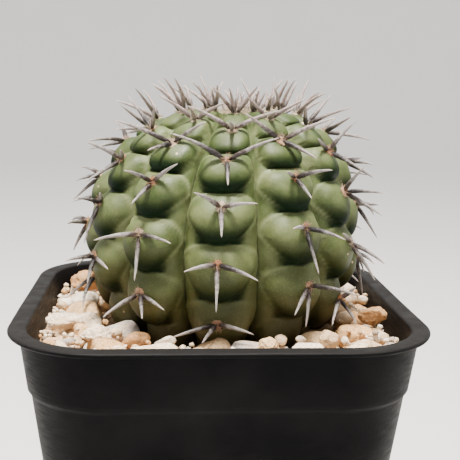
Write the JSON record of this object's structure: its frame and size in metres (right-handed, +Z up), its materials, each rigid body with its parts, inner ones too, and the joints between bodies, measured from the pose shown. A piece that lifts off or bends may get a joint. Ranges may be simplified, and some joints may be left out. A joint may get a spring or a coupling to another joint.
{
  "type": "potted round cactus",
  "caption": "Round ribbed cactus with stout curved grey spines, growing in gravel in a square black plastic nursery pot with rounded corners.",
  "frame": {"origin": "centre of the pot's underside, on the plane it stands on", "axes": "+Z up, from the pot's foot to the plant's crown; -Y is the front"},
  "size_m": [0.09, 0.09, 0.1312],
  "materials": {
    "black_plastic": "matte black moulded plastic",
    "potting_mix": "dark crumbly potting mix",
    "gravel": "mixed cream, tan and grey gravel",
    "stone": "rough porous pumice and pebbles",
    "cactus_skin": "satin green skin with a pale bloom",
    "spine": "grey spines, dark at their bases",
    "crown_wool": "felted cream wool"
  },
  "bodies": {
    "root": {"pot": "black_plastic", "potting_mix": "potting_mix", "gravel_bed": "gravel", "cactus_body": "cactus_skin", "crown_wool_and_spines": "crown_wool", "stone_porous_left": "stone", "stone_tan_left": "stone", "stone_grey_front_left": "stone", "stone_flat_front": "stone", "stone_beige_front": "stone", "stone_pale_front_right": "stone", "stone_round_right": "stone", "spines_rib01_row1": "spine", "spines_rib01_row2": "spine", "spines_rib01_row3": "spine", "spines_rib01_row4": "spine", "spines_rib02_row1": "spine", "spines_rib02_row2": "spine", "spines_rib02_row3": "spine", "spines_rib02_row4": "spine", "spines_rib03_row1": "spine", "spines_rib03_row2": "spine", "spines_rib03_row3": "spine", "spines_rib03_row4": "spine", "spines_rib04_row1": "spine", "spines_rib04_row2": "spine", "spines_rib04_row3": "spine", "spines_rib04_row4": "spine", "spines_rib05_row1": "spine", "spines_rib05_row2": "spine", "spines_rib05_row3": "spine", "spines_rib05_row4": "spine", "spines_rib06_row1": "spine", "spines_rib06_row2": "spine", "spines_rib06_row3": "spine", "spines_rib06_row4": "spine", "spines_rib07_row1": "spine", "spines_rib07_row2": "spine", "spines_rib07_row3": "spine", "spines_rib07_row4": "spine", "spines_rib08_row1": "spine", "spines_rib08_row2": "spine", "spines_rib08_row3": "spine", "spines_rib08_row4": "spine", "spines_rib09_row1": "spine", "spines_rib09_row2": "spine", "spines_rib09_row3": "spine", "spines_rib09_row4": "spine", "spines_rib10_row1": "spine", "spines_rib10_row2": "spine", "spines_rib10_row3": "spine", "spines_rib10_row4": "spine", "spines_rib11_row1": "spine", "spines_rib11_row2": "spine", "spines_rib11_row3": "spine", "spines_rib11_row4": "spine", "spines_rib12_row1": "spine", "spines_rib12_row2": "spine", "spines_rib12_row3": "spine", "spines_rib12_row4": "spine"}
  },
  "joints": []
}
